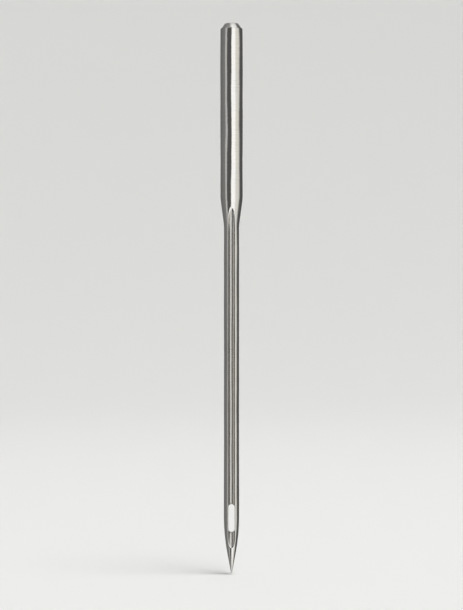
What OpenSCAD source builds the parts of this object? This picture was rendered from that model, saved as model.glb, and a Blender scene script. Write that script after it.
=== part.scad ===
// Sewing machine needle with a round shank, upright as it hangs in the needle bar.
// The butt is at the origin and the needle runs down to its point.
// The long groove faces -Y, and the scarf and the short groove face +Y.
// Depths are measured down from the butt.

/* [Shank] */
// Diameter of the shank, which the needle bar clamps
shank_d = 1.62; // [1.5:0.01:1.8]
// Length from the butt to the shoulder
shank_len = 12.3; // [9:0.1:15]
// Diameter of the flat end of the butt
butt_flat_d = 1; // [0.7:0.05:1.3]
// Length of the taper from that flat to the full shank
butt_taper_len = 0.4; // [0.3:0.05:0.8]
// Radius that rounds both edges of that taper
butt_edge_r = 0.12; // [0.05:0.01:0.18]

/* [Shoulder and blade] */
// Length of the cone from the shank down to the blade
shoulder_len = 1.9; // [1.2:0.1:3]
// Radius that blends both ends of the cone
shoulder_blend_r = 4; // [1:0.5:6]
// Diameter of the blade
blade_d = 1.1; // [0.95:0.01:1.25]

/* [Eye] */
// Distance from the butt to the top of the eye
butt_to_eye = 33.8; // [30:0.1:38]
// Length of the eye along the blade
eye_len = 1.95; // [1.4:0.05:2.4]
// Width of the eye
eye_w = 0.42; // [0.36:0.01:0.43]
// Size of the bevel over which the thread turns from each groove into the eye
eye_rim = 0.08; // [0.04:0.01:0.1]

/* [Point] */
// Distance from the bottom of the eye to the tip
eye_to_tip = 2.9; // [2.5:0.05:3.6]
// Length over which the blade narrows to the tip
point_len = 4; // [3.4:0.05:4.6]
// Full angle of the cone behind the tip, in degrees
point_angle = 22; // [20:1:25]
// Radius of the rounded tip
tip_r = 0.035; // [0.02:0.005:0.05]

/* [Long groove] */
// Width of the long groove
long_groove_w = 0.46; // [0.44:0.01:0.52]
// Depth of the long groove below the surface of the blade
long_groove_depth = 0.42; // [0.36:0.01:0.46]
// Distance from the end of the shoulder to the full depth of the groove
long_groove_lead = 1.4; // [0.8:0.1:3]
// Radius on which the floor rises into the shoulder
long_groove_top_r = 6; // [4:0.5:10]
// Radius on which the floor rises below the eye
long_groove_low_r = 2.6; // [1.5:0.1:3.5]

/* [Short groove] */
// Width of the short groove
short_groove_w = 0.44; // [0.44:0.01:0.5]
// Depth of the short groove below the surface of the blade
short_groove_depth = 0.28; // [0.25:0.01:0.32]
// Distance from the full depth of the groove to the top of the eye
short_groove_lead = 0.9; // [0.3:0.1:1.2]
// Radius on which the floor rises at both ends
short_groove_end_r = 4; // [2:0.1:5]

/* [Scarf] */
// Depth of the scarf below the surface of the blade
scarf_depth = 0.22; // [0.15:0.01:0.24]
// Length of the flat floor of the scarf
scarf_floor_len = 1.5; // [1:0.1:2.5]
// Distance from the scarf's lower edge to the top of the eye
scarf_gap = 0.35; // [0.2:0.05:0.8]
// Length of the slope at the lower end of the scarf
scarf_low_slope = 0.5; // [0.35:0.05:0.8]
// Length of the slope at the upper end of the scarf
scarf_top_slope = 1.3; // [0.8:0.1:2]
// Radius that rounds the foot of both slopes
scarf_foot_r = 0.8; // [0.3:0.1:1]

/* [Hidden] */
steel = [0.80, 0.79, 0.76];
$fn = 64;
// Straight steps that make up each rounded stretch of the outline
arc_steps = 8;
// How far a cutter passes through the surface that it opens
clear = 0.3;
// How much narrower than the eye its bevels are, so that they leave its side walls whole
rim_play = 0.01;
// Angle through which each end of a groove is swept, more than it needs to leave the steel
run_out_a = 60;

shank_r = shank_d / 2;
blade_r = blade_d / 2;
blade_top = shank_len + shoulder_len;
eye_bottom = butt_to_eye + eye_len;
tip = eye_bottom + eye_to_tip;
point_top = tip - point_len;
long_floor = blade_r - long_groove_depth;
short_floor = blade_r - short_groove_depth;

// The side of the point is an arc tangent to the blade, then a cone tangent to the tip
cone_a = point_angle / 2;
side_r = (tip_r + (point_len - tip_r) * sin(cone_a) - blade_r * cos(cone_a)) / (1 - cos(cone_a));

function unit(v) = v / norm(v);
function polar(centre, r, a) = centre + r * [cos(a), sin(a)];
function arc(centre, r, from, to) =
    [for (i = [0 : arc_steps]) polar(centre, r, from + (to - from) * i / arc_steps)];

// The arc of radius r that rounds the corner b on the way from a to c
function rounded(a, b, c, r) =
    let (
        back = unit(a - b),
        ahead = unit(c - b),
        half = acos(back * ahead) / 2,
        centre = b + unit(back + ahead) * r / sin(half),
        start = b + back * r / tan(half) - centre,
        from = atan2(start.y, start.x),
        turn = sign(cross(b - a, c - b)) * (180 - 2 * half)
    )
    arc(centre, r, from, from + turn);

// Half of the needle's outline: radius, and height above the butt
function outline() =
    let (
        flat_edge = [butt_flat_d / 2, 0],
        taper_end = [shank_r, -butt_taper_len],
        shoulder_top = [shank_r, -shank_len],
        shoulder_end = [blade_r, -blade_top],
        blade_end = [blade_r, -point_top]
    )
    concat(
        [[0, 0]],
        rounded([0, 0], flat_edge, taper_end, butt_edge_r),
        rounded(flat_edge, taper_end, shoulder_top, butt_edge_r),
        rounded(taper_end, shoulder_top, shoulder_end, shoulder_blend_r),
        rounded(shoulder_top, shoulder_end, blade_end, shoulder_blend_r),
        arc([blade_r - side_r, -point_top], side_r, 0, -cone_a),
        arc([0, tip_r - tip], tip_r, -cone_a, -90)
    );

// Turned and ground wire, before the grooves and the eye are cut
module blank() {
    rotate_extrude() polygon(outline());
}

// Section of a round-bottomed groove. X is 0 at the floor and grows into the groove.
module groove_section(width, height) {
    translate([width / 2, 0]) circle(d = width);
    translate([width / 2, -width / 2]) square([height - width / 2, width]);
}

// Straight groove along Z with its floor at the given distance in front of the axis
module straight_groove(width, floor, from, to) {
    translate([0, 0, -to])
        linear_extrude(to - from)
            rotate(-90) translate([floor, 0]) groove_section(width, shank_r + clear - floor);
}

// End of a groove, where the floor leaves its depth on an arc.
// up is 1 for an upper end and -1 for a lower end.
module groove_end(width, floor, depth, radius, up) {
    translate([0, -floor - radius, -depth])
        rotate([90, 0, 90])
            rotate_extrude(angle = up * run_out_a)
                translate([radius, 0]) mirror([1, 0]) groove_section(width, radius - clear);
}

module long_groove() {
    top = blade_top + long_groove_lead;
    straight_groove(long_groove_w, long_floor, top, eye_bottom);
    groove_end(long_groove_w, long_floor, top, long_groove_top_r, 1);
    groove_end(long_groove_w, long_floor, eye_bottom, long_groove_low_r, -1);
}

module short_groove() {
    top = butt_to_eye - short_groove_lead;
    rotate(180) {
        straight_groove(short_groove_w, short_floor, top, eye_bottom);
        groove_end(short_groove_w, short_floor, top, short_groove_end_r, 1);
        groove_end(short_groove_w, short_floor, eye_bottom, short_groove_end_r, -1);
    }
}

// Shallow scoop across the back of the blade, just above the eye
module scarf() {
    floor = blade_r - scarf_depth;
    out = blade_r + clear;
    // Both slopes run on past the surface of the blade
    overrun = (out - floor) / scarf_depth;
    low = scarf_gap + scarf_low_slope - butt_to_eye;
    top = low + scarf_floor_len;
    low_edge = [out, low - scarf_low_slope * overrun];
    low_foot = [floor, low];
    top_foot = [floor, top];
    top_edge = [out, top + scarf_top_slope * overrun];
    rotate([90, 0, 90])
        linear_extrude(blade_d + clear, center = true)
            polygon(concat(
                [low_edge],
                rounded(low_edge, low_foot, top_foot, scarf_foot_r),
                rounded(low_foot, top_foot, top_edge, scarf_foot_r),
                [top_edge]
            ));
}

// Slot with round ends, right through the blade from front to back
module eye() {
    rotate([90, 0, 0])
        linear_extrude(blade_d, center = true) {
            for (z = [butt_to_eye + eye_w / 2, eye_bottom - eye_w / 2])
                translate([0, -z]) circle(d = eye_w);
            translate([-eye_w / 2, -(eye_bottom - eye_w / 2)]) square([eye_w, eye_len - eye_w]);
        }
}

// Bevel on the edge between the floor of a groove and one end of the eye.
// up is 1 for the upper end and -1 for the lower end.
module rim_bevel(floor, depth, up) {
    translate([0, -floor, -depth])
        rotate([up * 45, 0, 0])
            translate([0, eye_rim / sqrt(2), 0])
                linear_extrude(eye_w, center = true)
                    rotate(-90) groove_section(eye_w - rim_play, eye_w);
}

module eye_rims() {
    rim_bevel(long_floor, butt_to_eye, 1);
    rim_bevel(long_floor, eye_bottom, -1);
    rotate(180) {
        rim_bevel(short_floor, butt_to_eye, 1);
        rim_bevel(short_floor, eye_bottom, -1);
    }
}

module needle() {
    color(steel)
        difference() {
            blank();
            long_groove();
            short_groove();
            scarf();
            eye();
            eye_rims();
        }
}

needle();
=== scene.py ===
"""The looks of a sewing machine needle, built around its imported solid.

The needle hangs upright in the frame: butt at the origin, point down, long groove towards -Y,
scarf and short groove towards +Y. Its surface is one closed mesh: rings of points from the butt
to the tip, drawn onto a smooth description of the steel, so that every edge is rounded.
"""
import math
from collections import namedtuple

import bmesh
import bpy
import numpy as np
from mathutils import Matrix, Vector

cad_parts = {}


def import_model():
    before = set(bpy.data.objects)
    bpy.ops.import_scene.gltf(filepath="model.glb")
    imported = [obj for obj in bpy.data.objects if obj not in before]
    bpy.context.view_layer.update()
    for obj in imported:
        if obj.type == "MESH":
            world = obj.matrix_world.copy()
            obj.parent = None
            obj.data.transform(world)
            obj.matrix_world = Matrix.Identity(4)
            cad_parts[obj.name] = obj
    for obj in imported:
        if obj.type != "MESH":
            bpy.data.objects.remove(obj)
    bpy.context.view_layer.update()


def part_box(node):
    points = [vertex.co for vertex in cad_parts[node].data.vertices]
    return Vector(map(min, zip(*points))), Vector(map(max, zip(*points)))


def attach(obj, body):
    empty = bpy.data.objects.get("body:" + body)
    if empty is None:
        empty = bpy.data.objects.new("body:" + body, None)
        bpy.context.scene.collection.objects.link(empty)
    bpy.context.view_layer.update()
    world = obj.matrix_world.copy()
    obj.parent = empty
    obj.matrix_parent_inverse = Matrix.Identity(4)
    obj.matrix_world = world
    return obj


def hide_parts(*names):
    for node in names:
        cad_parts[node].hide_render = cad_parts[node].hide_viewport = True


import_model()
low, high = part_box("needle")

# Sizes in millimetres. Depths are measured down from the butt.
MM = 0.001
SHANK_R = high.x / MM
TIP = -low.z / MM
SHANK_LEN = 12.3
BUTT_FLAT_R = 0.5
BUTT_TAPER = 0.4
BUTT_EDGE_R = 0.12
SHOULDER_LEN = 1.9
SHOULDER_BLEND = 0.037
BLADE_R = 0.55
BLADE_TOP = SHANK_LEN + SHOULDER_LEN

EYE_LEN = 1.95
EYE_TO_TIP = 2.9
EYE_HALF = 0.21
EYE_EDGE_R = 0.08
EYE_BOTTOM = TIP - EYE_TO_TIP
EYE_TOP = EYE_BOTTOM - EYE_LEN

POINT_TOP = TIP - 4.0
POINT_HALF_ANGLE = math.radians(11)
TIP_R = 0.035

SCARF_DEPTH = 0.22
SCARF_GAP = 0.35
SCARF_LOW_SLOPE = 0.5
SCARF_FLOOR_LEN = 1.5
SCARF_TOP_SLOPE = 1.3
SCARF_EDGE_R = 0.025
SCARF_FLOOR = BLADE_R - SCARF_DEPTH
SCARF_FOOT_LOW = EYE_TOP - SCARF_GAP - SCARF_LOW_SLOPE
SCARF_FOOT_TOP = SCARF_FOOT_LOW - SCARF_FLOOR_LEN
# Differences of height over which the slopes round into the floor, and into each other
SCARF_FOOT_BLEND = 0.06
SCARF_SLOPE_BLEND = 0.02

# side is -1 for the front and 1 for the back, and floor is measured out from the axis.
# Above top and below low the floor leaves the steel, on arcs of top_r and low_r.
Groove = namedtuple("Groove", "side half floor top low top_r low_r edge_r")
LONG = Groove(
    side=-1, half=0.23, floor=BLADE_R - 0.42, top=BLADE_TOP + 1.4, low=EYE_BOTTOM,
    top_r=6.0, low_r=2.6, edge_r=0.05,
)
SHORT = Groove(
    side=1, half=0.22, floor=BLADE_R - 0.28, top=EYE_TOP - 0.9, low=EYE_BOTTOM,
    top_r=4.0, low_r=4.0, edge_r=0.04,
)

# Columns of points on each stretch of half a section, from the groove's centre line outwards
FLOOR_STEPS = 8
WALL_STEPS = 7
FLAT_STEPS = 8
FRONT_ROUND_STEPS = 16
BACK_ROUND_STEPS = 10
EYE_WALL_STEPS = 24
# How much closer together the columns are beside an edge
EASE = 1.3
# Where the groove has no lip, the lip's column runs at this share of the radius
LIP_SHARE = 0.6
# The eye's column stays within this share of the way to the lip's
EYE_SHARE = 0.93
# Where there is no scarf, its edge's column runs at this share of the way from the lip's to the side
FLAT_SHARE = 0.35
# Depth of the scarf at which that column has come over to the scarf's edge
FLAT_CUT = 0.1
# Least width between those two columns, as a share of the radius
FLAT_LEAST = 0.08

# Rings on each stretch, with both ends: round an edge of the butt, down the shank, down the cone
# from where the rings are plain circles, and round the tip
BUTT_EDGE_RINGS = 7
SHANK_RINGS = 16
CONE_RINGS = 22
TIP_RINGS = 8
CONE_TOP = EYE_BOTTOM + 1.75
# Rings between the eye and the cone, and the distance between them
POINT_RINGS = 53
POINT_STEP = 0.03

# Rows beside the eye, with both ends, and how far they reach past it
EYE_ROWS = 46
EYE_MARGIN = 0.14
# Length of half the eye's outline, and of the part at each end where the grooves' floors run through
EYE_RUN = EYE_LEN - 2 * EYE_HALF + math.pi * EYE_HALF
TURN_RUN = EYE_HALF * math.radians(62)
# Depth at both ends over which the rows through the eye dip to meet that part
TURN_REACH = 0.5

# How points settle onto the surface: the distance over which its slope is measured, the longest
# step, and the least square of the slope that a step is divided by
PROBE = 2e-4
LONGEST_STEP = 0.02
LEAST_SQUARE = 0.2
# Steps at first, how often the points are then evened out between their neighbours, and the steps
# that follow each time
FIRST_STEPS = 12
EVEN_ROUNDS = 3
LATER_STEPS = 4

# Longest strip of the flat map, the gap between strips, and the radius of the discs for the ends
STRIP_LEN = 13.2
STRIP_GAP = 0.12
END_DISC = 0.25

# How far off the scarf's flat its mask fades out, how deep in a cut the mask of milled steel and
# painted shade fades in, and the least depth that counts as cut
SCARF_FADE = 0.02
MILLED_AND_SHADE_FADE = 0.08
CUT_LEAST = 0.005


def soft_min(a, b, k):
    """The smaller of a and b, with the corner between them rounded over a difference of k."""
    h = np.maximum(k - np.abs(a - b), 0) / k
    return np.minimum(a, b) - h * h * k / 4


def soft_max(a, b, k):
    return -soft_min(-a, -b, k)


def carve(solid, cutter, edge_r):
    """Distance to what a cutter leaves of a solid, with the edges rounded. All are negative inside."""
    kept = -cutter
    u = np.maximum(edge_r + solid, 0)
    v = np.maximum(edge_r + kept, 0)
    return np.minimum(-edge_r, np.maximum(solid, kept)) + np.hypot(u, v)


def side_radius():
    """Radius of the arc along the side of the point, tangent to the blade and to the cone."""
    a = POINT_HALF_ANGLE
    run = (TIP - POINT_TOP - TIP_R) * math.sin(a)
    return (TIP_R + run - BLADE_R * math.cos(a)) / (1 - math.cos(a))


def radius_at(depth):
    """Outer radius of the needle below its butt, before anything is cut into it."""
    cone = SHANK_R - (SHANK_R - BLADE_R) * (depth - SHANK_LEN) / SHOULDER_LEN
    body = soft_max(soft_min(SHANK_R, cone, SHOULDER_BLEND), BLADE_R, SHOULDER_BLEND)
    r = side_radius()
    s = np.clip(depth - POINT_TOP, 0, r * math.sin(POINT_HALF_ANGLE))
    arc = BLADE_R - r + np.sqrt(r * r - s * s)
    past = TIP - TIP_R - depth
    line = TIP_R / math.cos(POINT_HALF_ANGLE) + past * math.tan(POINT_HALF_ANGLE)
    point = np.where(depth - POINT_TOP > s, line, arc)
    return np.where(depth < POINT_TOP, body, point)


def past_ends(groove, depth):
    """How far each depth lies above and below a groove's straight floor."""
    return np.maximum(groove.top - depth, 0), np.maximum(depth - groove.low, 0)


def floor_at(groove, depth):
    """Distance from the axis to a groove's floor."""
    above, below = past_ends(groove, depth)
    up = groove.top_r - np.sqrt(np.maximum(groove.top_r ** 2 - above ** 2, 0))
    down = groove.low_r - np.sqrt(np.maximum(groove.low_r ** 2 - below ** 2, 0))
    return groove.floor + up + down


def groove_distance(groove, x, y, depth):
    """Distance to the space that a groove takes, negative inside it."""
    above, below = past_ends(groove, depth)
    over = groove.side * y - groove.floor
    over = np.where(above > 0, groove.top_r - np.hypot(over - groove.top_r, above), over)
    over = np.where(below > 0, groove.low_r - np.hypot(over - groove.low_r, below), over)
    round_part = np.hypot(x, over - groove.half) - groove.half
    return np.where(over > groove.half, np.abs(x) - groove.half, round_part)


def scarf_at(depth):
    """Height of the scarf's surface over the axis."""
    lower = SCARF_FLOOR + (depth - SCARF_FOOT_LOW) * SCARF_DEPTH / SCARF_LOW_SLOPE
    upper = SCARF_FLOOR + (SCARF_FOOT_TOP - depth) * SCARF_DEPTH / SCARF_TOP_SLOPE
    return soft_max(soft_max(lower, upper, SCARF_SLOPE_BLEND), SCARF_FLOOR, SCARF_FOOT_BLEND)


def eye_distance(x, depth):
    """Distance to the slot of the eye, negative inside it."""
    centre = np.clip(depth, EYE_TOP + EYE_HALF, EYE_BOTTOM - EYE_HALF)
    return np.hypot(x, depth - centre) - EYE_HALF


def skin(p):
    """Distance to the plain turned needle, negative inside."""
    depth = -p[:, 2]
    return np.hypot(p[:, 0], p[:, 1]) - radius_at(depth)


def steel(p):
    """Distance to the finished needle, negative inside."""
    x, y, depth = p[:, 0], p[:, 1], -p[:, 2]
    d = skin(p)
    d = carve(d, groove_distance(LONG, x, y, depth), LONG.edge_r)
    d = carve(d, scarf_at(depth) - y, SCARF_EDGE_R)
    d = carve(d, groove_distance(SHORT, x, y, depth), SHORT.edge_r)
    return carve(d, eye_distance(x, depth), EYE_EDGE_R)


def slope(p):
    """Gradient of the distance, which points out of the steel."""
    g = np.empty_like(p)
    for axis in range(3):
        step = np.zeros(3)
        step[axis] = PROBE
        g[:, axis] = (steel(p + step) - steel(p - step)) / (2 * PROBE)
    return g


def settle(p, steps):
    """Moves points along the slope until they lie on the steel's surface."""
    p = p.copy()
    for _ in range(steps):
        g = slope(p)
        step = (steel(p) / np.maximum((g * g).sum(1), LEAST_SQUARE))[:, None] * g
        length = np.linalg.norm(step, axis=1, keepdims=True)
        p -= step * np.minimum(1, LONGEST_STEP / np.maximum(length, 1e-12))
    return p


def spread(start, end, steps, ease=1.0):
    """Places from start to end, closer together at the start where ease is over 1."""
    return start + (end - start) * np.linspace(0, 1, steps + 1) ** ease


class Outline:
    """Half of a section's outline on one side of the needle, the front or the back.

    It starts at the groove's centre line and runs over the groove's floor, its wall, the flat of
    the scarf and the round of the needle, up to the needle's side. Places on it are given as
    lengths along it. flat is the height of the scarf, or the shank's radius where there is none.
    """

    def __init__(self, groove, depth, flat):
        r = float(radius_at(depth))
        half = groove.half
        floor = float(floor_at(groove, depth))
        centre = floor + half
        flat = min(flat, r)
        turn, lip_x, lip_y = 0.0, 0.0, flat
        if floor < flat:
            top = min(flat, math.sqrt(r * r - half * half))
            if top >= centre:
                turn, lip_x, lip_y = math.pi / 2, half, top
            else:
                lip_x = math.sqrt(max(half ** 2 - (centre - flat) ** 2, 0))
                if math.hypot(lip_x, flat) > r:
                    lip_y = (r * r - half * half + centre * centre) / (2 * centre)
                    lip_x = math.sqrt(r * r - lip_y * lip_y)
                turn = math.atan2(lip_x, centre - lip_y)
        edge_x = max(math.sqrt(r * r - flat * flat), lip_x)
        edge_y = math.sqrt(r * r - edge_x * edge_x)

        # turn is the angle that the floor's arc turns through, and start the one at which the
        # needle's round begins
        self.r, self.half, self.centre, self.flat = r, half, centre, flat
        self.turn, self.start = turn, math.atan2(edge_x, edge_y)
        self.lip_x, self.lip_y = lip_x, lip_y
        self.floor_end = half * turn
        self.wall_end = self.floor_end + max(lip_y - centre, 0) * (lip_x == half)
        self.flat_end = self.wall_end + edge_x - lip_x
        self.end = self.flat_end + r * (math.pi / 2 - self.start)

    def columns(self, flat_steps, round_steps):
        """Where the columns of points run."""
        lip = max(self.wall_end, LIP_SHARE * self.r)
        eye = min(self.half * math.asin(EYE_HALF / self.half), EYE_SHARE * lip)
        stretches = [spread(0, eye, FLOOR_STEPS), lip - spread(0, lip - eye, WALL_STEPS, EASE)[::-1]]
        edge = lip
        if flat_steps:
            plain = lip + FLAT_SHARE * (self.end - lip)
            cut = np.clip((self.r - self.flat) / FLAT_CUT, 0, 1)
            edge = plain + (max(self.flat_end, lip + FLAT_LEAST * self.r) - plain) * cut
            stretches.append(spread(lip, edge, flat_steps))
        stretches.append(spread(edge, self.end, round_steps, EASE))
        return np.concatenate([[0]] + [stretch[1:] for stretch in stretches])

    def at(self, s):
        """x and the distance out from the axis at each place."""
        phi = np.minimum(s / self.half, self.turn)
        angle = self.start + (s - self.flat_end) / self.r
        stretch = [s > self.flat_end, s >= self.wall_end, s > self.floor_end]
        x = np.select(
            stretch,
            [self.r * np.sin(angle), self.lip_x + s - self.wall_end, self.half],
            self.half * np.sin(phi),
        )
        out = np.select(
            stretch,
            [self.r * np.cos(angle), self.lip_y, self.centre + s - self.floor_end],
            self.centre - self.half * np.cos(phi),
        )
        return x, out


def section(depth):
    """Right half of the outline at one depth, from the front centre line round to the back one."""
    front = Outline(LONG, depth, SHANK_R)
    back = Outline(SHORT, depth, float(scarf_at(depth)))
    front_x, front_out = front.at(front.columns(0, FRONT_ROUND_STEPS))
    back_x, back_out = back.at(back.columns(FLAT_STEPS, BACK_ROUND_STEPS))
    x = np.concatenate([front_x, back_x[-2::-1]])
    y = np.concatenate([-front_out, back_out[-2::-1]])
    return np.stack([x, y, np.full(len(x), -depth)], 1)


def mirrored(points):
    return points * np.array([-1, 1, 1])


def along(bends, steps):
    """Evenly spaced points along a line with bends."""
    bends = np.array(bends, float)
    lengths = np.linalg.norm(np.diff(bends, axis=0), axis=1)
    way = np.concatenate([[0], np.cumsum(lengths)])
    at = np.linspace(0, way[-1], steps + 1)
    return np.stack([np.interp(at, way, bends[:, i]) for i in range(3)], 1)


class Surface:
    """Points of the needle, and the sheets of four-sided faces between them, collected part by part.

    Two sheets grow side by side, one on each side of the needle, by a row of points at a time.
    Each row runs from the front to the back.
    """

    def __init__(self):
        self.points = []
        self.fixed = []
        self.count = 0
        self.sheets = []
        self.rights = []
        self.lefts = []

    def add(self, points, fixed=False):
        """Returns the numbers of the new points. Fixed ones lie on the surface already."""
        index = np.arange(self.count, self.count + len(points))
        self.points.append(points)
        self.fixed.append(np.full(len(points), fixed))
        self.count += len(points)
        return index

    def ring(self, half, fixed=False):
        """Adds a whole ring, given its right half. Returns its right and left halves."""
        right = self.add(half, fixed)
        left_inner = self.add(mirrored(half[1:-1]), fixed)
        return right, np.concatenate([right[:1], left_inner, right[-1:]])

    def circle(self, radius, depth, like):
        """Adds a round ring, with its columns placed as at the depth like, where the needle is round."""
        half = section(like) * (radius / float(radius_at(like)))
        half[:, 2] = -depth
        return self.ring(half, fixed=True)

    def row(self, right, left):
        self.rights.append(right)
        self.lefts.append(left)

    def loop(self, number):
        """The points of one whole row, once round the needle."""
        return np.concatenate([self.rights[number], self.lefts[number][-2:0:-1]])

    def sheet(self, rows):
        """Faces between neighbouring rows of points, each row as long as the next."""
        self.sheets.append(np.array(rows))

    def end_rows(self):
        """Makes the two sheets of the rows so far."""
        self.sheet(self.rights)
        self.sheet([row[::-1] for row in self.lefts])
        self.rights, self.lefts = [], []


def butt_rings():
    """Radius and depth of the rings from the middle of the butt to the full shank."""
    taper = math.atan2(SHANK_R - BUTT_FLAT_R, BUTT_TAPER)
    e = BUTT_EDGE_R
    flat_turn = math.pi / 2 - taper
    back = e * math.tan(flat_turn / 2)
    rings = [(share * (BUTT_FLAT_R - back), 0.0) for share in (0.25, 0.5, 0.75, 0.92)]
    for t in np.linspace(0, flat_turn, BUTT_EDGE_RINGS):
        rings.append((BUTT_FLAT_R - back + e * math.sin(t), e - e * math.cos(t)))
    back = e * math.tan(taper / 2)
    for t in np.linspace(taper, 0, BUTT_EDGE_RINGS):
        rings.append((SHANK_R - e + e * math.cos(t), BUTT_TAPER + back - e * math.sin(t)))
    return rings


def tip_rings():
    """Radius and depth of the rings down the cone and round the tip."""
    foot = TIP - TIP_R + TIP_R * math.sin(POINT_HALF_ANGLE)
    rings = [(float(radius_at(depth)), depth) for depth in np.linspace(CONE_TOP, foot, CONE_RINGS)]
    for t in np.linspace(POINT_HALF_ANGLE, math.pi / 2, TIP_RINGS)[1:-1]:
        rings.append((TIP_R * math.cos(t), TIP - TIP_R + TIP_R * math.sin(t)))
    return rings


def stations():
    """Depths of the rings from the end of the shank to the eye, closer where the form changes."""
    scarf_top = SCARF_FOOT_TOP - SCARF_TOP_SLOPE
    # Where each stretch starts, the distance between its rings, and how many it has
    stretches = [
        (SHANK_LEN - 0.5, 0.08, 14),
        (SHANK_LEN + 0.6, 0.035, 29),
        (BLADE_TOP - 0.3, 0.09, 20),
        (LONG.top + 0.1, 0.71, 20),
        (scarf_top - 0.25, 0.045, 74),
        (EYE_TOP - 0.6, 0.03, 15),
    ]
    depths = [start + step * np.arange(count) for start, step, count in stretches]
    return np.concatenate(depths + [[EYE_TOP - EYE_MARGIN]])


def eye_edge(run):
    """x and depth of a point on the eye's outline, by its distance from the middle of the upper end."""
    angle = run / EYE_HALF
    straight = EYE_LEN - 2 * EYE_HALF
    if angle < math.pi / 2:
        return EYE_HALF * math.sin(angle), EYE_TOP + EYE_HALF - EYE_HALF * math.cos(angle)
    down = run - EYE_HALF * math.pi / 2
    if down < straight:
        return EYE_HALF, EYE_TOP + EYE_HALF + down
    angle = (down - straight) / EYE_HALF
    return EYE_HALF * math.cos(angle), EYE_BOTTOM - EYE_HALF + EYE_HALF * math.sin(angle)


def through_eye(front, back, run):
    """Path through the eye, from a point on the front groove's floor to one on the back groove's."""
    x, depth = eye_edge(run)
    front_y = -(LONG.floor + LONG.half - math.sqrt(LONG.half ** 2 - x * x))
    back_y = SHORT.floor + SHORT.half - math.sqrt(SHORT.half ** 2 - x * x)
    return along([front, (x, front_y, -depth), (x, back_y, -depth), back], EYE_WALL_STEPS)


def build_turn(surface, right, left, ring_depth, from_top):
    """The rounded saddle where the grooves' floors run through one end of the eye.

    Returns the right and left edges of the saddle, each from front to back.
    """
    n = FLOOR_STEPS
    half = section(ring_depth)
    columns = {}
    for j in range(n + 1):
        run = TURN_RUN * j / n
        path = through_eye(half[j], half[-1 - j], run if from_top else EYE_RUN - run)
        columns[j] = np.concatenate([[right[j]], surface.add(path[1:-1]), [right[-1 - j]]])
        if j:
            inner = surface.add(mirrored(path[1:-1]))
            columns[-j] = np.concatenate([[left[j]], inner, [left[-1 - j]]])
    surface.sheet([columns[j] for j in range(-n, n + 1)])
    return columns[n], columns[-n]


def build_body(surface):
    """Rows from the butt down to the eye."""
    shank = SHANK_LEN / 2
    for radius, depth in butt_rings():
        surface.row(*surface.circle(radius, depth, like=shank))
    depths = stations()
    for depth in np.linspace(BUTT_TAPER, depths[0], SHANK_RINGS)[1:-1]:
        surface.row(*surface.circle(SHANK_R, depth, like=shank))
    for depth in depths:
        surface.row(*surface.ring(section(depth)))


def build_eye(surface):
    """Rows beside the eye and through it, where the steel parts into a right and a left leg."""
    n = FLOOR_STEPS
    top = EYE_TOP - EYE_MARGIN
    bottom = EYE_BOTTOM + EYE_MARGIN
    right, left = surface.rights[-1], surface.lefts[-1]
    surface.end_rows()
    wall_right, wall_left = build_turn(surface, right, left, top, from_top=True)
    surface.row(right[n:-n], left[n:-n])
    walls_right, walls_left = [wall_right], [wall_left]

    # All along the middle of the eye, the rows through it are level
    level = EYE_HALF * math.pi / 2 + top + TURN_REACH - EYE_TOP - EYE_HALF
    stops = [top, top + TURN_REACH, bottom - TURN_REACH, bottom]
    runs = [TURN_RUN, level, EYE_RUN - level, EYE_RUN - TURN_RUN]
    for depth in np.linspace(top, bottom, EYE_ROWS)[1:-1]:
        half = section(depth)[n:-n]
        right, left = surface.add(half), surface.add(mirrored(half))
        surface.row(right, left)
        path = through_eye(half[0], half[-1], float(np.interp(depth, stops, runs)))[1:-1]
        walls_right.append(np.concatenate([right[:1], surface.add(path), right[-1:]]))
        walls_left.append(np.concatenate([left[:1], surface.add(mirrored(path)), left[-1:]]))

    right, left = surface.ring(section(bottom))
    wall_right, wall_left = build_turn(surface, right, left, bottom, from_top=False)
    surface.row(right[n:-n], left[n:-n])
    surface.end_rows()
    surface.sheet(walls_right + [wall_right])
    surface.sheet(walls_left + [wall_left])
    surface.row(right, left)


def build_point(surface):
    """Rows from the eye down to the tip."""
    bottom = EYE_BOTTOM + EYE_MARGIN
    for depth in bottom + POINT_STEP * np.arange(1, POINT_RINGS + 1):
        surface.row(*surface.ring(section(depth)))
    for radius, depth in tip_rings():
        surface.row(*surface.circle(radius, depth, like=CONE_TOP))


def corners(grid):
    """The four corners of each cell of a grid, in order round the cell."""
    return np.stack([grid[:-1, :-1], grid[:-1, 1:], grid[1:, 1:], grid[1:, :-1]], 2)


def neighbour_mean(points, faces):
    """Mean of each point's neighbours along the faces' sides."""
    a = faces.ravel()
    b = np.roll(faces, -1, axis=1).ravel()
    count = np.bincount(a, minlength=len(points)) + np.bincount(b, minlength=len(points))
    total = [
        np.bincount(a, points[b, i], len(points)) + np.bincount(b, points[a, i], len(points))
        for i in range(3)
    ]
    return np.stack(total, 1) / count[:, None]


def build_needle():
    """Returns the needle's points in millimetres, its faces as lists of numbers, and its flat map."""
    surface = Surface()
    build_body(surface)
    butt = surface.loop(0)
    build_eye(surface)
    build_point(surface)
    tip = surface.loop(-1)
    surface.end_rows()

    points = np.concatenate(surface.points)
    free = ~np.concatenate(surface.fixed)
    quads = np.concatenate([corners(sheet).reshape(-1, 4) for sheet in surface.sheets])
    points[free] = settle(points[free], FIRST_STEPS)
    for _ in range(EVEN_ROUNDS):
        middle = neighbour_mean(points, quads)
        points[free] = settle((points[free] + middle[free]) / 2, LATER_STEPS)
    flat_map = lay_out(points, surface.sheets, [butt, tip])

    # A fan closes the butt and another the tip
    points = np.concatenate([points, [[0, 0, 0], [0, 0, -TIP]]])
    faces = quads.tolist()
    for centre, loop in enumerate([butt, tip], surface.count):
        faces += [[a, b, centre] for a, b in zip(loop, np.roll(loop, -1))]
    return points, faces, flat_map


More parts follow.
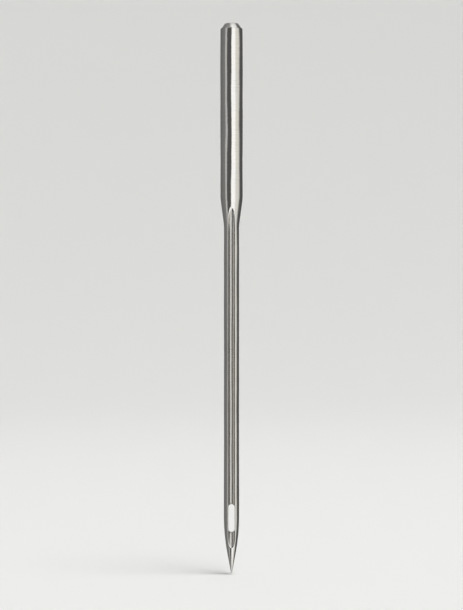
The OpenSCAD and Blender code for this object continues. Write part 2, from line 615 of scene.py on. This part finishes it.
def reach(grid):
    """Mean distance from the first row of a grid of points to each row."""
    steps = np.linalg.norm(np.diff(grid, axis=0), axis=2).mean(1)
    return np.concatenate([[0], np.cumsum(steps)])


def lay_out(points, sheets, ends):
    """Flat map of the surface, from 0 to 1 each way, with a place for every corner of every face.

    Each sheet is unrolled and cut to length, and the strips are stacked in columns. Two discs
    hold the fans over the ends.
    """
    downs = [reach(points[sheet]) for sheet in sheets]
    widths = [reach(points[sheet].swapaxes(0, 1)) for sheet in sheets]
    strips = []
    for n, down in enumerate(downs):
        start = 0
        while start < len(down) - 1:
            stop = max(start + 1, int(np.searchsorted(down, down[start] + STRIP_LEN)) - 1)
            strips.append((down[stop] - down[start], n, start, stop))
            start = stop
    places = [np.zeros((len(down) - 1, len(width) - 1, 4, 2)) for down, width in zip(downs, widths)]
    left, top, column = 0.0, 0.0, 0.0
    for height, n, start, stop in sorted(strips, reverse=True):
        if top + height > STRIP_LEN:
            left, top, column = left + column + STRIP_GAP, 0.0, 0.0
        down = top + downs[n][start:stop + 1] - downs[n][start]
        across = left + widths[n]
        places[n][start:stop] = corners(np.stack(np.meshgrid(across, down), 2))
        top += height + STRIP_GAP
        column = max(column, widths[n][-1])
    flat = [place.reshape(-1, 2) for place in places]

    # The discs lie side by side, with a little room round each
    for i, loop in enumerate(ends):
        middle = np.array([left + (2.5 * i + 1.2) * END_DISC, top + 1.2 * END_DISC])
        rim = middle + END_DISC * points[loop, :2] / np.linalg.norm(points[loop[0], :2])
        centre = np.broadcast_to(middle, rim.shape)
        flat.append(np.stack([rim, np.roll(rim, -1, axis=0), centre], 1).reshape(-1, 2))
    flat = np.concatenate(flat)
    return (flat + STRIP_GAP) / (flat.max(0) + 2 * STRIP_GAP)


def masks(points):
    """How much each point belongs to what was milled, whose darker colour is also painted shade in
    the grooves and the eye, and to the flat of the scarf.
    """
    recess = -skin(points)
    off_scarf = np.abs(scarf_at(-points[:, 2]) - points[:, 1])
    scarf = np.clip(1 - off_scarf / SCARF_FADE, 0, 1) * (recess > CUT_LEAST)
    # This mask also carries painted shade: it darkens the colour of the cut grooves and the eye
    milled_and_shade = np.clip(recess / MILLED_AND_SHADE_FADE, 0, 1) * (1 - scarf)
    return {"milled_and_shade": milled_and_shade, "scarf": scarf}


def make_needle():
    points, faces, flat_map = build_needle()
    mesh = bpy.data.meshes.new("needle_steel")
    mesh.from_pydata((points * MM).tolist(), [], faces)
    mesh.uv_layers.new(name="OFBake").data.foreach_set("uv", flat_map.astype(np.float32).ravel())
    work = bmesh.new()
    work.from_mesh(mesh)
    bmesh.ops.recalc_face_normals(work, faces=work.faces)
    work.to_mesh(mesh)
    work.free()
    mesh.polygons.foreach_set("use_smooth", [True] * len(mesh.polygons))
    for name, values in masks(points).items():
        mask = mesh.attributes.new(name, "FLOAT", "POINT")
        mask.data.foreach_set("value", values.astype(np.float32))
    return mesh


# Sockets of a Mix node for numbers and for colours: its two values, and its result
MIX_SOCKETS = {"FLOAT": (2, 3, 0), "RGBA": (6, 7, 2)}


class Nodes:
    """The nodes of a material or a world, with one short call to add a node and fill its inputs."""

    def __init__(self, owner, shader="Principled BSDF"):
        owner.use_nodes = True
        self.tree = owner.node_tree
        self.shader = self.tree.nodes[shader]

    def add(self, kind, **values):
        """Adds a node. Each value goes to the input of that name, or else to the node's setting."""
        node = self.tree.nodes.new("ShaderNode" + kind)
        for key, value in values.items():
            if key in node.inputs:
                self.set(node.inputs[key], value)
            else:
                setattr(node, key, value)
        return node

    def set(self, socket, value):
        """Links a node's output to a socket, or gives the socket a plain value."""
        if isinstance(value, bpy.types.NodeSocket):
            self.tree.links.new(value, socket)
        else:
            socket.default_value = value

    def attribute(self, name):
        return self.add("Attribute", attribute_name=name).outputs["Fac"]

    def noise(self, scale, detail):
        """Noise with its own count of cells per millimetre along each axis."""
        place = self.add("TexCoord").outputs["Object"]
        stretched = self.add("Mapping", Vector=place, Scale=[s / MM for s in scale]).outputs[0]
        return self.add("TexNoise", Vector=stretched, Scale=1.0, Detail=detail).outputs["Fac"]

    def below(self, start, end):
        """0 above the depth start and 1 below the depth end."""
        place = self.add("TexCoord").outputs["Object"]
        height = self.add("SeparateXYZ", Vector=place).outputs["Z"]
        return self.remap(height, -start * MM, -end * MM, 0, 1)

    def remap(self, value, start, end, to_start, to_end):
        """Stretches the range of a value to another range, and holds it there."""
        ends = {"From Min": start, "From Max": end, "To Min": to_start, "To Max": to_end}
        return self.add("MapRange", Value=value, **ends).outputs["Result"]

    def maths(self, operation, a, b):
        node = self.add("Math", operation=operation)
        self.set(node.inputs[0], a)
        self.set(node.inputs[1], b)
        return node.outputs[0]

    def mix(self, factor, a, b, kind="FLOAT"):
        node = self.add("Mix", data_type=kind)
        first, second, result = MIX_SOCKETS[kind]
        self.set(node.inputs[0], factor)
        self.set(node.inputs[first], a)
        self.set(node.inputs[second], b)
        return node.outputs[result]

    def mix_colours(self, factor, a, b):
        return self.mix(factor, a, b, "RGBA")

    def bump(self, height, distance, normal=None):
        node = self.add("Bump", Height=height, Distance=distance, Strength=1.0)
        if normal is not None:
            self.set(node.inputs["Normal"], normal)
        return node.outputs["Normal"]


PLATE_WARM = (0.80, 0.780, 0.740, 1)
PLATE_COOL = (0.77, 0.768, 0.752, 1)
# A darker plating tone, for the fine grain lines and for painted shade in the grooves and the eye
DARK_PLATE = (0.63, 0.615, 0.585, 1)
# Length over which the lines along the blade give way to the strokes round the point
GRAIN_FADE = 0.6


def plated_steel():
    """Bright plating over ground steel, rougher where the needle was milled, and darker there as
    painted shade in the grooves and the eye.

    Noise scales are cells per millimetre along X, Y and the needle. Bump heights are in metres.
    """
    material = bpy.data.materials.new("plated_steel")
    nodes = Nodes(material)
    shader = nodes.shader
    shader.inputs["Metallic"].default_value = 1.0
    milled_and_shade = nodes.attribute("milled_and_shade")
    scarf = nodes.attribute("scarf")
    blade = nodes.below(SHANK_LEN, BLADE_TOP)
    point = nodes.below(POINT_TOP, POINT_TOP + GRAIN_FADE)

    # Shank and point are ground round and round, the blade is drawn and the scarf is ground across
    rings = nodes.noise((1.2, 1.2, 24.0), detail=3)
    streaks = nodes.noise((20.0, 20.0, 0.5), detail=3)
    strokes = nodes.noise((1.0, 4.0, 38.0), detail=2)
    lengthways = nodes.mix(point, blade, 0.0)
    grain = nodes.mix(scarf, nodes.mix(lengthways, rings, streaks), strokes)

    cloud = nodes.noise((0.9, 0.9, 0.4), detail=3)
    tint = nodes.mix_colours(nodes.remap(cloud, 0.35, 0.65, 0, 1), PLATE_WARM, PLATE_COOL)
    tint = nodes.mix_colours(nodes.remap(grain, 0.45, 0.7, 0, 0.35), tint, DARK_PLATE)
    # Painted shade: the base colour darkens in the milled grooves and the eye, where they are cut in
    nodes.set(shader.inputs["Base Color"], nodes.mix_colours(milled_and_shade, tint, DARK_PLATE))

    scuffs = nodes.remap(nodes.noise((16.0, 16.0, 0.45), detail=1), 0.66, 0.74, 0, 1)
    rough = nodes.remap(cloud, 0.3, 0.7, 0.09, 0.15)
    rough = nodes.mix(scuffs, rough, 0.2)
    rough = nodes.mix(milled_and_shade, rough, nodes.remap(streaks, 0.3, 0.7, 0.22, 0.32))
    rough = nodes.mix(scarf, rough, nodes.remap(strokes, 0.3, 0.7, 0.17, 0.27))
    nodes.set(shader.inputs["Roughness"], rough)

    waves = nodes.noise((0.5, 0.5, 0.3), detail=1)
    normal = nodes.bump(waves, 1.3e-4)
    ripple = nodes.noise((1.6, 1.6, 2.2), detail=2)
    normal = nodes.bump(ripple, 9e-6, normal=normal)
    normal = nodes.bump(grain, nodes.mix(scarf, 8e-7, 1.2e-6), normal=normal)
    nodes.set(shader.inputs["Normal"], normal)
    return material


# Stage and light, in metres and degrees. Azimuth 0 is in front of the needle and 90 is at its right.
FLOOR_GAP = 0.0001
FLOOR_Z = -TIP * MM - FLOOR_GAP
FLOOR_R = 0.22
BEND_R = 0.6
WALL_TOP = 0.75
# The middle of the floor is a single face of this radius
HUB_R = 0.002
FLOOR_RINGS = 24
BEND_RINGS = 33
BACKDROP_COLUMNS = 96
PAPER = (0.80, 0.80, 0.79, 1)

MIDDLE = -TIP / 2 * MM
CAMERA_WAY = 0.143
CAMERA_Z = -0.0198
CAMERA_LENS = 120

# What the steel mirrors round the horizon, from the back by the left, the front and the right to
# the back again: a dim stretch and a narrow panel of light at the left, a wide panel at the right
# of the front, and one behind. Levels are shares of the brightest.
PLAIN = (1.0, 1.0, 1.0)
WARM = (1.0, 0.985, 0.93)
BRIGHTEST = 1.22
HORIZON = 0.08
ZENITH = 0.35
Stop = namedtuple("Stop", "azimuth level colour", defaults=[PLAIN])
SURROUND = [
    Stop(-180, 0.84),
    Stop(-164, 0.84),
    Stop(-138, 0.13),
    Stop(-67, 0.18),
    Stop(-56, 0.48),
    Stop(-47, 0.48),
    Stop(-39, HORIZON),
    Stop(-4, HORIZON),
    Stop(4, 1.0),
    Stop(30, 1.0),
    Stop(50, 0.69, WARM),
    Stop(70, 0.66, WARM),
    Stop(96, HORIZON),
    Stop(145, HORIZON),
    Stop(162, 0.84),
    Stop(180, 0.84),
]
# How steep a direction is where the panels start to fade into grey and where they stop, and the
# share of them that is gone there
FADE_START = 0.55
FADE_END = 0.95
FADE_SHARE = 0.8


def world():
    """Soft panels of light round the needle, which fade to plain grey above and below them."""
    surroundings = bpy.data.worlds.new("surroundings")
    nodes = Nodes(surroundings, "Background")
    way = nodes.add("SeparateXYZ", Vector=nodes.add("TexCoord").outputs["Generated"])
    ahead = nodes.maths("MULTIPLY", way.outputs["Y"], -1)
    azimuth = nodes.maths("ARCTAN2", way.outputs["X"], ahead)
    ramp = nodes.add("ValToRGB", Fac=nodes.remap(azimuth, -math.pi, math.pi, 0, 1))
    ramp.color_ramp.interpolation = "EASE"
    stops = ramp.color_ramp.elements
    for spare in stops[1:]:
        stops.remove(spare)
    for i, stop in enumerate(SURROUND):
        place = (stop.azimuth + 180) / 360
        element = stops.new(place) if i else stops[0]
        element.position = place
        element.color = [stop.level * part for part in stop.colour] + [1]
    steep = nodes.maths("ABSOLUTE", way.outputs["Z"], 0)
    grey = nodes.remap(steep, 0, 1, HORIZON, ZENITH)
    beyond = nodes.remap(steep, FADE_START, FADE_END, 0, FADE_SHARE)
    colour = nodes.mix_colours(beyond, ramp.outputs["Color"], grey)
    nodes.set(nodes.shader.inputs["Color"], colour)
    nodes.shader.inputs["Strength"].default_value = BRIGHTEST
    bpy.context.scene.world = surroundings


def round_light(name, size, energy, place):
    """Round light above the needle that faces it."""
    light = bpy.data.lights.new(name, "AREA")
    light.shape = "DISK"
    light.size = size
    light.energy = energy
    lamp = bpy.data.objects.new(name, light)
    lamp.location = place
    way = Vector((0, 0, MIDDLE)) - lamp.location
    lamp.rotation_euler = way.to_track_quat("-Z", "Y").to_euler()
    lamp.visible_camera = False
    bpy.context.scene.collection.objects.link(lamp)
    return lamp


def backdrop():
    """Pale round floor that curves up into a wall on all sides. The steel doesn't mirror it."""
    profile = [(r, FLOOR_Z) for r in np.linspace(HUB_R, FLOOR_R, FLOOR_RINGS)]
    for turn in np.linspace(0, math.pi / 2, BEND_RINGS)[1:]:
        profile.append((FLOOR_R + BEND_R * math.sin(turn), FLOOR_Z + BEND_R * (1 - math.cos(turn))))
    profile.append((FLOOR_R + BEND_R, WALL_TOP))
    angles = np.linspace(0, 2 * math.pi, BACKDROP_COLUMNS, endpoint=False)
    points = [(r * math.cos(a), r * math.sin(a), z) for r, z in profile for a in angles]
    rings = np.arange(len(points)).reshape(-1, BACKDROP_COLUMNS)
    closed = np.concatenate([rings, rings[:, :1]], 1)
    faces = corners(closed.T).reshape(-1, 4).tolist()
    faces.append(rings[0].tolist())
    mesh = bpy.data.meshes.new("backdrop")
    mesh.from_pydata(points, [], faces)
    mesh.polygons.foreach_set("use_smooth", [True] * len(mesh.polygons))
    paper = bpy.data.materials.new("backdrop")
    shader = Nodes(paper).shader
    shader.inputs["Base Color"].default_value = PAPER
    shader.inputs["Roughness"].default_value = 1.0
    shader.inputs["Specular IOR Level"].default_value = 0.0
    mesh.materials.append(paper)
    piece = bpy.data.objects.new("backdrop", mesh)
    bpy.context.scene.collection.objects.link(piece)
    piece.visible_glossy = False


def view_camera():
    """Looks straight at the front, as the photograph does."""
    camera = bpy.data.objects.new("camera", bpy.data.cameras.new("camera"))
    camera.data.lens = CAMERA_LENS
    camera.data.clip_start = 0.001
    camera.location = (0, -CAMERA_WAY, CAMERA_Z)
    camera.rotation_euler = (math.pi / 2, 0, 0)
    bpy.context.scene.collection.objects.link(camera)
    bpy.context.scene.camera = camera


view_camera()
world()
backdrop()
# One light for the floor and the shadow, and one that only shows in the steel
floor_light = round_light("top_light", size=0.3, energy=3.5, place=(0.15, -0.12, 0.7))
floor_light.visible_glossy = False
gloss_light = round_light("top_panel", size=0.3, energy=0.16, place=(0.09, -0.02, 0.36))
gloss_light.visible_diffuse = False
bpy.context.scene.view_settings.view_transform = "Standard"

needle = bpy.data.objects.new("needle_steel", make_needle())
needle.data.materials.append(plated_steel())
bpy.context.scene.collection.objects.link(needle)
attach(needle, "root")
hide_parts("needle")
